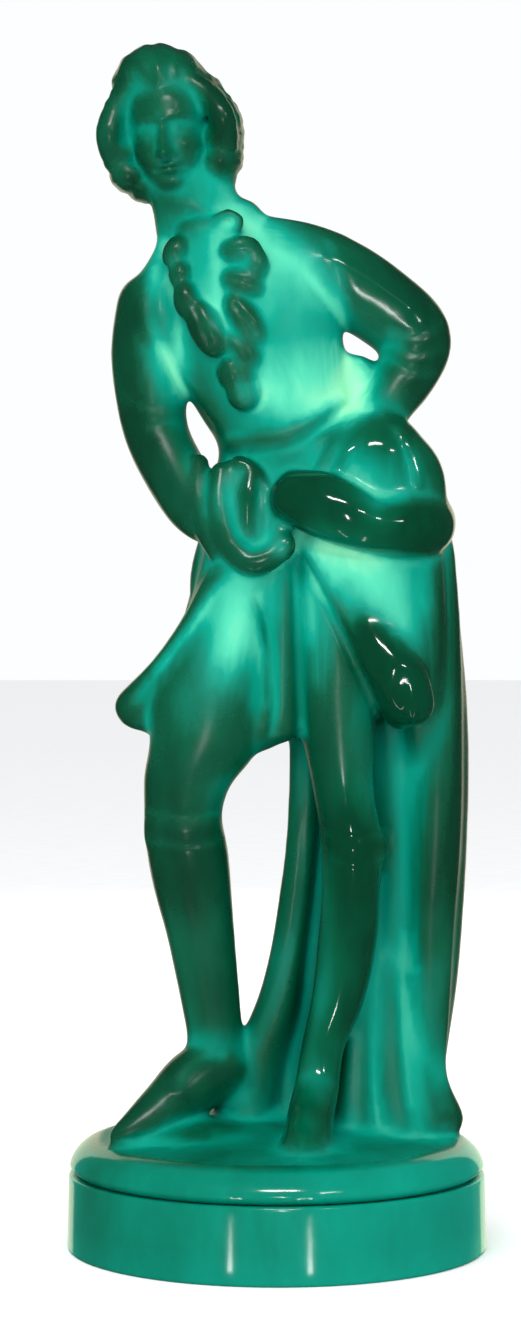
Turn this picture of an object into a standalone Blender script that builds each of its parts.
"""Figural powder jar in pressed malachite glass, with its powder puff.

A shallow round bowl is closed by a full-width lid. The lid's handle is a standing gallant in 18th-century dress,
pressed in one piece with the lid. A velour puff lies in the bowl.

Metres, +Z up, origin at the centre of the bowl's foot, the figure facing -Y.
"""

import math

import bmesh
import bpy
from mathutils import Matrix, Vector

MM = 0.001

# ---- Driving dimensions, in millimetres ------------------------------------------------------------------------
JAR_RADIUS = 40.0          # outside of the bowl's foot
BOWL_HEIGHT = 14.3         # foot to rim
WALL_DRAFT = 0.3           # how far the pressed wall draws in towards the rim
WALL = 4.8                 # wall at the rim
FLOOR = 3.6                # glass under the powder
FOOT_RECESS = 0.8          # hollow ground into the underside, so that the jar stands on a ring
FOOT_RING = 8.0            # width of that ring
EDGE_BREAK = 0.5           # chamfer on ground edges
LID_GAP = 0.3              # joint line between rim and lid
FLANGE_DEPTH = 2.2         # locating ring under the lid
FLANGE_WALL = 3.0
FLANGE_CLEARANCE = 0.6     # radial, between flange and bowl
SHOULDER_RADIUS = 6.4      # rounded edge of the lid
LID_CEILING = 17.8         # underside of the lid over the powder, above the foot
GROUND_TOP = 25.0          # crown of the ground that the figure stands on
PUFF_RADIUS = 28.0
PUFF_THICKNESS = 4.4
PUFF_BACK_RADIUS = 24.0
PUFF_BACK_THICKNESS = 0.6
RIBBON_WIDTH = 13.0
RIBBON_THICKNESS = 0.6
RIBBON_RISE = 1.9          # how far the ribbon stands off the puff's back
REST_GAP = 0.3             # between pieces that lie on each other

TURNED_STEPS = 72          # facets of every turned shape
LOFT_SIDES = 16
SCULPT_VOXEL = 1.0
SCULPT_SMOOTHING = 5
SCULPT_TRIANGLES = 8600

RIM_RADIUS = JAR_RADIUS - WALL_DRAFT
MOUTH_RADIUS = RIM_RADIUS - WALL
LID_BOTTOM = BOWL_HEIGHT + LID_GAP
FLANGE_OUTER = MOUTH_RADIUS - FLANGE_CLEARANCE
FLANGE_INNER = FLANGE_OUTER - FLANGE_WALL
SHOULDER_TOP = LID_BOTTOM + SHOULDER_RADIUS
SHOULDER_CENTRE = RIM_RADIUS - SHOULDER_RADIUS
GROUND_BOTTOM = SHOULDER_TOP - 2.0


# ---- Scene, materials and objects ------------------------------------------------------------------------------
def clear_scene():
    for obj in list(bpy.data.objects):
        bpy.data.objects.remove(obj)


def material(name, colour, roughness, sheen=0.0):
    made = bpy.data.materials.new(name)
    made.use_nodes = True
    shader = made.node_tree.nodes["Principled BSDF"]
    shader.inputs["Base Color"].default_value = (*colour, 1.0)
    shader.inputs["Roughness"].default_value = roughness
    shader.inputs["Metallic"].default_value = 0.0
    shader.inputs["Sheen Weight"].default_value = sheen
    return made


def object_of(name, mesh_or_bmesh, collection, finish=None):
    """A mesh or a bmesh as a linked object."""
    mesh = mesh_or_bmesh
    if isinstance(mesh_or_bmesh, bmesh.types.BMesh):
        mesh = bpy.data.meshes.new(name)
        mesh_or_bmesh.to_mesh(mesh)
        mesh_or_bmesh.free()
    obj = bpy.data.objects.new(name, mesh)
    collection.objects.link(obj)
    if finish:
        mesh.materials.clear()
        mesh.materials.append(finish)
    return obj


def arc(centre_r, centre_z, radius, start, end, steps):
    """Points (r, z) along an arc, angles in degrees from the outward horizontal."""
    turns = [math.radians(start + (end - start) * i / steps) for i in range(steps + 1)]
    return [(centre_r + radius * math.cos(t), centre_z + radius * math.sin(t)) for t in turns]


def turned(name, profile, collection, finish=None):
    """A solid of revolution about Z from a closed (r, z) profile in mm that runs down its outer side."""
    work = bmesh.new()
    points = [work.verts.new((r * MM, 0.0, z * MM)) for r, z in profile]
    for first, second in zip(points, points[1:]):
        work.edges.new((first, second))
    obj = object_of(name, work, collection, finish)
    screw = obj.modifiers.new("turn", "SCREW")
    screw.steps = screw.render_steps = TURNED_STEPS
    screw.use_merge_vertices = True
    screw.merge_threshold = 0.00001
    screw.use_smooth_shade = True
    return obj


# ---- Sculpting: limbs, balls and sheets that fuse into one body ---------------------------------------------------
def smooth_path(stations, per_span=5):
    """Catmull-Rom points through stations of equal length tuples, radii included."""
    ends = [stations[0], *stations, stations[-1]]
    path = []
    for before, start, end, after in zip(ends, ends[1:], ends[2:], ends[3:]):
        for i in range(per_span):
            t = i / per_span
            path.append([
                0.5 * (2 * b + (c - a) * t + (2 * a - 5 * b + 4 * c - d) * t * t + (3 * b - a - 3 * c + d) * t ** 3)
                for a, b, c, d in zip(before, start, end, after)
            ])
    path.append(list(stations[-1]))
    return path


def ring_of(work, centre, width_axis, depth_axis, half_width, half_depth):
    turns = [2 * math.pi * i / LOFT_SIDES for i in range(LOFT_SIDES)]
    return [
        work.verts.new(
            (centre + width_axis * half_width * math.cos(t) + depth_axis * half_depth * math.sin(t)) * MM
        )
        for t in turns
    ]


def limb(work, stations):
    """A rounded loft through stations (x, y, z, half width, half depth), in mm. Both ends are domes."""
    path = smooth_path([s if len(s) == 5 else (*s, s[3]) for s in stations])
    centres = [Vector(p[:3]) for p in path]
    rings = []
    for i, (centre, point) in enumerate(zip(centres, path)):
        along = (centres[min(i + 1, len(path) - 1)] - centres[max(i - 1, 0)]).normalized()
        width_axis = along.cross(Vector((0.0, 1.0, 0.0)))
        if width_axis.length < 0.2:
            width_axis = Vector((1.0, 0.0, 0.0))
        width_axis.normalize()
        depth_axis = width_axis.cross(along).normalized()
        half_width, half_depth = point[3], point[4]
        dome = 0.75 * min(half_width, half_depth)
        lifts = {0: (-80, -55, -28), len(path) - 1: (28, 55, 80)}.get(i, ())
        turns = [math.radians(a) for a in lifts]
        if i == 0:
            turns = [*turns, 0.0]
        else:
            turns = [0.0, *turns]
        for turn in turns:
            rings.append(ring_of(
                work,
                centre + along * dome * math.sin(turn),
                width_axis,
                depth_axis,
                half_width * math.cos(turn),
                half_depth * math.cos(turn),
            ))
    for ring, following in zip(rings, rings[1:]):
        for k in range(LOFT_SIDES):
            j = (k + 1) % LOFT_SIDES
            work.faces.new((ring[k], ring[j], following[j], following[k]))
    work.faces.new(list(reversed(rings[0])))
    work.faces.new(rings[-1])


def ball(work, centre, radii, roll=0.0, yaw=0.0):
    """An ellipsoid, in mm, rolled about Y and turned about Z in degrees."""
    place = (
        Matrix.Translation(Vector(centre) * MM)
        @ Matrix.Rotation(math.radians(yaw), 4, "Z")
        @ Matrix.Rotation(math.radians(roll), 4, "Y")
        @ Matrix.Diagonal((*[r * MM for r in radii], 1.0))
    )
    bmesh.ops.create_icosphere(work, subdivisions=3, radius=1.0, matrix=place)


# ---- The figure -------------------------------------------------------------------------------------------------
HEAD_CENTRE = Vector((-20.4, -0.5, 213.4))
HEAD_LEAN = -9.0           # degrees, towards its right shoulder
HEAD_TURN = (
    Matrix.Rotation(math.radians(HEAD_LEAN), 3, "Y")
    @ Matrix.Rotation(math.radians(8.0), 3, "X")     # chin a little raised
    @ Matrix.Rotation(math.radians(-9.0), 3, "Z")    # looks a little to its right
)


def on_head(x, y, z):
    """A point of the head's own frame, in mm, in the object's frame."""
    return tuple(HEAD_CENTRE + HEAD_TURN @ Vector((x, y, z)))


def sculpt_head(work):
    ball(work, on_head(0, 1.0, 3.0), (8.6, 9.6, 10.0), roll=HEAD_LEAN)
    ball(work, on_head(0, -3.0, -3.4), (7.2, 6.8, 9.4), roll=HEAD_LEAN)
    ball(work, on_head(0, -6.4, -10.4), (2.7, 2.4, 2.2))
    limb(work, [(*on_head(0, -8.8, 1.6), 1.0), (*on_head(0, -10.8, -2.8), 1.4)])
    limb(work, [(-18.6, 1.0, 207, 7.6), (-15.6, 1.6, 200.5, 8.2), (-12.8, 1.6, 194.5, 11.6, 8.0)])


def sculpt_hair(work):
    ball(work, on_head(0, 3.6, 1.0), (12.9, 9.6, 14.6), roll=HEAD_LEAN)
    for x, z, r in ((-8.6, 7.8, 3.3), (-10.6, 1.6, 3.5), (-10.2, -5.2, 3.7), (-7.4, -9.6, 3.6),
                    (8.8, 7.6, 3.2), (9.9, 1.2, 3.3), (10.4, -4.4, 3.3)):
        limb(work, [(*on_head(x, -3.2, z), r), (*on_head(x * 0.96, 7.0, z - 0.6), r)])
    for x, z in ((-6.0, 11.0), (-1.6, 14.2), (3.2, 12.2)):
        limb(work, [
            (*on_head(x * 0.8, -5.8, z - 2.6), 2.2),
            (*on_head(x, 0.0, z), 2.7),
            (*on_head(x, 7.4, z - 1.4), 2.6),
            (*on_head(x * 0.9, 11.4, z - 8.0), 2.4),
        ])
    # The queue, tied at the nape.
    limb(work, [
        (*on_head(0, 10.5, 0.0), 5.0),
        (*on_head(0, 11.4, -8.0), 3.0),
        (*on_head(0.5, 9.8, -16.0), 3.4),
        (*on_head(1.5, 9.0, -25.0), 2.2),
    ])


def sculpt_torso(work):
    limb(work, [
        (-12.0, 1.5, 195, 10.0, 7.0),
        (-10.0, 1.0, 188, 14.0, 8.8),
        (-7.5, 0.5, 181, 17.5, 10.2),
        (-4.0, 0.0, 173, 17.0, 10.4),
        (-1.0, 0.0, 165, 14.8, 9.6),
        (1.5, 0.5, 158, 13.4, 9.0),
        (2.5, 0.5, 151, 14.0, 9.0),
        (2.5, 0.5, 143, 15.5, 9.4),
        (1.5, 1.0, 135, 16.0, 9.4),
        (1.0, 1.0, 127, 15.0, 8.6),
    ])
    ball(work, (-22.6, 0.5, 176.5), (9.0, 8.2, 10.0))
    # Jabot: two falls of lace either side of the placket, and the lobe that they meet in.
    right_fall = ((-19.0, 189.6), (-18.8, 185.8), (-17.2, 181.0), (-14.4, 176.4), (-12.4, 171.0))
    left_fall = ((-6.2, 189.2), (-6.4, 183.8), (-6.4, 177.2), (-6.8, 171.2), (-7.4, 164.4))
    for x, z in right_fall:
        limb(work, [(x + 1.6, -8.6, z + 1.6, 2.4), (x - 0.8, -9.8, z - 1.4, 2.6)])
    for x, z in left_fall:
        limb(work, [(x - 2.2, -8.8, z + 2.0, 2.6), (x + 1.6, -9.8, z - 1.6, 3.0)])
    limb(work, [(-12.4, -7.0, 193.6, 2.4), (-9.0, -8.0, 196.0, 2.8), (-6.6, -7.2, 193.2, 2.2)])
    # Sash under the waistcoat's hem.
    limb(work, [(-9.0, -7.2, 150.6, 2.4), (-2, -8.8, 151.6, 2.6), (5, -8.8, 154.2, 2.6), (12, -6.8, 159, 2.4)])


def sculpt_arms(work):
    # Its right arm, bent with the hand at the waist.
    limb(work, [
        (-22.4, 0.8, 180, 8.6, 7.8),
        (-24.0, 1.2, 171, 7.8, 7.2),
        (-23.9, 1.6, 162, 7.0, 6.8),
        (-22.6, 1.2, 155, 6.6, 6.6),
        (-19.4, -0.6, 148, 6.3, 6.4),
        (-15.0, -3.4, 142, 6.2, 6.2),
        (-10.0, -6.0, 138, 6.0, 5.6),
    ])
    # Its hand and lace cuff.
    for x, top, low in ((-12.4, 146, 133.5), (-8.8, 148.5, 131.5), (-4.8, 149, 129), (-0.8, 147, 129.5)):
        limb(work, [(x, -8.6, top, 2.5), (x + 0.2, -11.0, (top + low) / 2, 2.9), (x + 0.6, -10.0, low, 2.5)])
    # Its left arm, akimbo.
    limb(work, [
        (-6.0, 1.2, 190.6, 7.6, 7.0),
        (3.0, 1.4, 188.2, 8.4, 7.6),
        (11.4, 1.8, 185.4, 8.1, 7.6),
        (19.6, 2.2, 180.6, 7.7, 7.4),
        (26.4, 2.2, 174.0, 7.2, 7.0),
        (25.4, 1.2, 166.6, 6.2, 6.2),
        (21.0, -0.6, 160.4, 5.4, 5.4),
        (18.4, -2.4, 155.4, 5.2, 5.2),
    ])
    # The web of glass left between the forearm and the waist.
    limb(work, [(14.8, 0.8, 168.0, 4.4, 2.2), (14.6, 0.8, 158, 4.6, 3.0)])


def sculpt_hat(work):
    ball(work, (18.6, -4.2, 145.0), (13.6, 9.2, 13.6))
    limb(work, [
        (2.6, -10.6, 142.4, 4.8, 4.6),
        (10.0, -13.2, 140.4, 6.2, 5.6),
        (19.6, -13.2, 137.4, 5.8, 5.4),
        (28.4, -8.8, 136.2, 5.4, 5.2),
        (29.6, -1.0, 137.0, 4.4, 5.2),
    ])


def sculpt_coat(work):
    # The skirts behind the legs.
    limb(work, [
        (2.0, 2.5, 146, 14.5, 8.0),
        (3.6, 3.5, 132, 20.6, 7.6),
        (4.2, 4.6, 120, 21.8, 6.4),
        (2.5, 5.6, 108, 24.5, 5.4),
        (2.0, 6.2, 98.0, 23.5, 4.4),
    ])
    # The rolled front edge on its right, ending in the turned-out corner.
    limb(work, [
        (-6.0, -7.0, 133, 3.6),
        (-10.4, -6.6, 124.6, 3.2),
        (-15.6, -5.4, 117, 3.2),
        (-21.6, -3.2, 109.4, 3.6),
        (-27.4, -0.8, 102.8, 4.4),
    ])
    # The front skirt on its left, with its heavy turned-back corner.
    limb(work, [
        (15.0, -5.4, 131, 11.0, 4.6),
        (19.4, -6.0, 120, 9.0, 4.4),
        (22.6, -6.4, 110.5, 6.6, 4.4),
        (24.8, -6.4, 104, 4.8, 4.2),
    ])
    limb(work, [
        (13.0, -8.8, 121.2, 2.4),
        (18.2, -10.4, 113.6, 4.2, 4.0),
        (22.6, -10.6, 106.6, 4.8, 4.4),
        (25.8, -9.4, 102.2, 4.2, 4.0),
    ])


def sculpt_legs(work):
    # Its right leg, set aside, in breeches and stocking.
    limb(work, [
        (-5.0, -1.0, 132, 9.0),
        (-9.0, -3.4, 118, 8.8, 8.6),
        (-12.6, -4.6, 105, 10.6, 9.2),
        (-14.2, -5.0, 97, 10.4, 9.0),
        (-16.8, -5.2, 88, 8.4, 8.2),
        (-17.5, -4.8, 80, 7.5),
        (-16.7, -4.0, 71, 7.4),
        (-15.0, -2.6, 61, 6.5),
        (-13.0, -1.6, 48, 5.5),
        (-12.0, -1.2, 40, 5.3),
        (-11.6, -1.4, 33, 5.6),
    ])
    limb(work, [(-17.5, -4.9, 80.6, 8.1), (-17.4, -4.8, 77.4, 8.1)])
    limb(work, [
        (-9.0, -1.0, 31.0, 4.4),
        (-15.0, -4.6, 31.6, 5.6, 5.0),
        (-21.5, -9.0, 28.0, 5.0, 4.4),
        (-27.6, -12.8, 24.8, 3.8, 3.2),
    ])
    # Its left leg, standing, the shoe towards the front.
    limb(work, [
        (10.0, -1.6, 130, 9.0),
        (11.4, -3.6, 116, 8.4),
        (11.4, -4.6, 104, 7.7),
        (12.0, -5.2, 95, 6.6),
        (12.8, -5.6, 86, 5.6, 6.2),
        (14.2, -6.0, 77, 5.9, 6.4),
        (14.0, -5.6, 67, 5.6, 6.4),
        (13.3, -5.4, 58, 5.7, 6.0),
        (11.6, -6.0, 48, 5.1, 5.2),
        (8.8, -7.8, 39.5, 4.1),
        (7.4, -9.8, 32, 4.2),
    ])
    limb(work, [(14.4, -6.2, 78.2, 6.6), (14.2, -6.2, 75.6, 6.6)])
    limb(work, [(7.4, -8.4, 29.6, 4.4), (6.6, -16.8, 26.2, 4.4, 3.8), (6.0, -25.0, 23.2, 3.9, 3.2)])


def sculpt_cloak(work):
    # The main fall at the outside, and the fall behind the legs that the figure leans on.
    limb(work, [
        (23.0, 3.6, 139, 9.6, 7.0),
        (24.4, 6.0, 123, 10.6, 7.6),
        (26.0, 7.4, 104, 10.9, 8.0),
        (26.4, 8.4, 88, 10.9, 8.4),
        (25.4, 9.2, 70, 11.4, 8.8),
        (23.2, 9.8, 52, 12.4, 9.2),
        (21.4, 10.0, 38, 13.0, 9.4),
        (19.6, 9.4, 28, 15.0, 10.2),
        (19.6, 8.8, 21, 16.4, 10.8),
    ])
    limb(work, [
        (12.8, 8.4, 110, 9.0, 6.0),
        (11.8, 9.4, 92, 9.6, 6.2),
        (11.2, 10.0, 76, 9.7, 6.4),
        (9.2, 10.2, 58, 9.8, 6.6),
        (6.0, 9.8, 44, 9.9, 7.0),
        (1.0, 9.0, 33, 10.2, 8.0),
        (-1.6, 8.6, 23, 12.0, 9.0),
    ])


def sculpt_mound(work):
    ball(work, (-15.0, -7.0, 20.8), (15.5, 11.5, 4.6))
    ball(work, (0.0, 6.0, 20.4), (22.0, 15.0, 6.4))


def figure_sculpture(collection):
    work = bmesh.new()
    sculpt_head(work)
    sculpt_hair(work)
    sculpt_torso(work)
    sculpt_arms(work)
    sculpt_hat(work)
    sculpt_coat(work)
    sculpt_legs(work)
    sculpt_cloak(work)
    sculpt_mound(work)
    bmesh.ops.recalc_face_normals(work, faces=work.faces)
    obj = object_of("figure_sculpture", work, collection)
    fuse = obj.modifiers.new("fuse", "REMESH")
    fuse.mode = "VOXEL"
    fuse.voxel_size = SCULPT_VOXEL * MM
    soften = obj.modifiers.new("soften", "SMOOTH")
    soften.factor = 0.5
    soften.iterations = SCULPT_SMOOTHING
    return applied(obj, collection)


def applied(obj, collection):
    """The object with its modifiers made real."""
    bpy.context.view_layer.update()
    graph = bpy.context.evaluated_depsgraph_get()
    mesh = bpy.data.meshes.new_from_object(obj.evaluated_get(graph))
    name = obj.name
    bpy.data.objects.remove(obj)
    return object_of(name, mesh, collection)


def thinned(obj, collection, triangles):
    obj.data.calc_loop_triangles()
    thin = obj.modifiers.new("thin", "DECIMATE")
    thin.ratio = triangles / len(obj.data.loop_triangles)
    thin.use_collapse_triangulate = True
    return applied(obj, collection)


# ---- The pieces --------------------------------------------------------------------------------------------------
def make_bowl(collection, glass):
    foot_inner = JAR_RADIUS - FOOT_RING
    profile = [
        (RIM_RADIUS - EDGE_BREAK, BOWL_HEIGHT),
        (RIM_RADIUS, BOWL_HEIGHT - EDGE_BREAK),
        (JAR_RADIUS, EDGE_BREAK),
        (JAR_RADIUS - EDGE_BREAK, 0.0),
        (foot_inner, 0.0),
        (foot_inner - FOOT_RECESS, FOOT_RECESS),
        (0.0, FOOT_RECESS),
    ]
    inside_corner = 2.5
    inside = [(0.0, FLOOR)]
    inside += arc(MOUTH_RADIUS - inside_corner, FLOOR + inside_corner, inside_corner, -90, 0, 4)
    inside += [(MOUTH_RADIUS, BOWL_HEIGHT - EDGE_BREAK), (MOUTH_RADIUS + EDGE_BREAK, BOWL_HEIGHT)]
    obj = turned("bowl", [*profile, *inside, profile[0]], collection, glass)
    return obj


def make_lid(collection, cutters, glass):
    ground = [
        (0.0, GROUND_TOP),
        (10.0, GROUND_TOP - 0.6),
        (20.0, SHOULDER_TOP + 2.2),
        (28.0, SHOULDER_TOP + 0.8),
    ]
    shoulder = arc(SHOULDER_CENTRE, LID_BOTTOM, SHOULDER_RADIUS, 90, 0, 6)
    underside = [
        (FLANGE_OUTER, LID_BOTTOM),
        (FLANGE_OUTER - EDGE_BREAK * 0.6, LID_BOTTOM - FLANGE_DEPTH),
        (FLANGE_INNER, LID_BOTTOM - FLANGE_DEPTH),
        (FLANGE_INNER - 1.0, LID_CEILING - 1.5),
        (FLANGE_INNER - 2.5, LID_CEILING),
        (0.0, LID_CEILING),
    ]
    lid = turned("figure_lid", [*ground, *shoulder, *underside], collection, glass)
    figure = thinned(figure_sculpture(cutters), cutters, SCULPT_TRIANGLES)
    trim_figure(figure)
    figure.hide_render = True
    figure.display_type = "WIRE"
    join = lid.modifiers.new("figure", "BOOLEAN")
    join.operation = "UNION"
    join.object = figure
    return lid


def trim_figure(figure):
    """Cuts the figure off inside the lid's glass, so that nothing hangs through the hollow underneath."""
    work = bmesh.new()
    work.from_mesh(figure.data)
    cut = bmesh.ops.bisect_plane(
        work,
        geom=[*work.verts, *work.edges, *work.faces],
        plane_co=(0.0, 0.0, GROUND_BOTTOM * MM),
        plane_no=(0.0, 0.0, -1.0),
        clear_outer=True,
    )
    edges = [e for e in cut["geom_cut"] if isinstance(e, bmesh.types.BMEdge)]
    bmesh.ops.holes_fill(work, edges=edges, sides=0)
    bmesh.ops.triangulate(work, faces=[f for f in work.faces if len(f.verts) > 4])
    bmesh.ops.recalc_face_normals(work, faces=work.faces)
    work.to_mesh(figure.data)
    work.free()


def make_puff(collection, velour, satin):
    low = FLOOR + REST_GAP
    high = low + PUFF_THICKNESS
    half = PUFF_THICKNESS / 2
    pad = [(0.0, high), (PUFF_RADIUS * 0.8, high - 0.2)]
    pad += arc(PUFF_RADIUS - half, low + half, half, 75, -75, 6)
    pad += [(PUFF_RADIUS * 0.8, low), (0.0, low)]
    turned("puff_pad", pad, collection, velour)

    back_low = high + REST_GAP
    back_high = back_low + PUFF_BACK_THICKNESS
    back = [(0.0, back_high), (PUFF_BACK_RADIUS - 0.3, back_high), (PUFF_BACK_RADIUS, back_high - 0.3)]
    back += [(PUFF_BACK_RADIUS, back_low), (0.0, back_low)]
    turned("puff_back", back, collection, satin)

    make_ribbon(collection, satin, back_high + REST_GAP)


def make_ribbon(collection, satin, seat):
    """A satin band across the puff's back, sewn down at both ends and loose in the middle for the fingers."""
    half_span = PUFF_BACK_RADIUS - 3.0
    columns, rows = 24, 2
    work = bmesh.new()
    bmesh.ops.create_grid(work, x_segments=columns, y_segments=rows, size=1.0)
    for vert in work.verts:
        across = vert.co.x
        rise = RIBBON_RISE * math.cos(across * math.pi / 2) ** 0.8 if abs(across) < 1 else 0.0
        vert.co = Vector((
            across * half_span * MM,
            vert.co.y * RIBBON_WIDTH / 2 * MM,
            (seat + RIBBON_THICKNESS + rise) * MM,
        ))
    obj = object_of("puff_ribbon", work, collection, satin)
    thick = obj.modifiers.new("thickness", "SOLIDIFY")
    thick.thickness = RIBBON_THICKNESS * MM
    thick.offset = -1.0
    return obj


def main():
    clear_scene()
    scene = bpy.context.scene
    jar = bpy.data.collections.new("powder_jar")
    cutters = bpy.data.collections.new("cutters")
    for collection in (jar, cutters):
        scene.collection.children.link(collection)
    glass = material("malachite_glass", (0.02, 0.27, 0.2), 0.18)
    velour = material("puff_velour", (0.86, 0.72, 0.66), 0.95, sheen=0.6)
    satin = material("puff_satin", (0.82, 0.58, 0.55), 0.45, sheen=0.3)
    make_bowl(jar, glass)
    make_lid(jar, cutters, glass)
    make_puff(jar, velour, satin)


main()
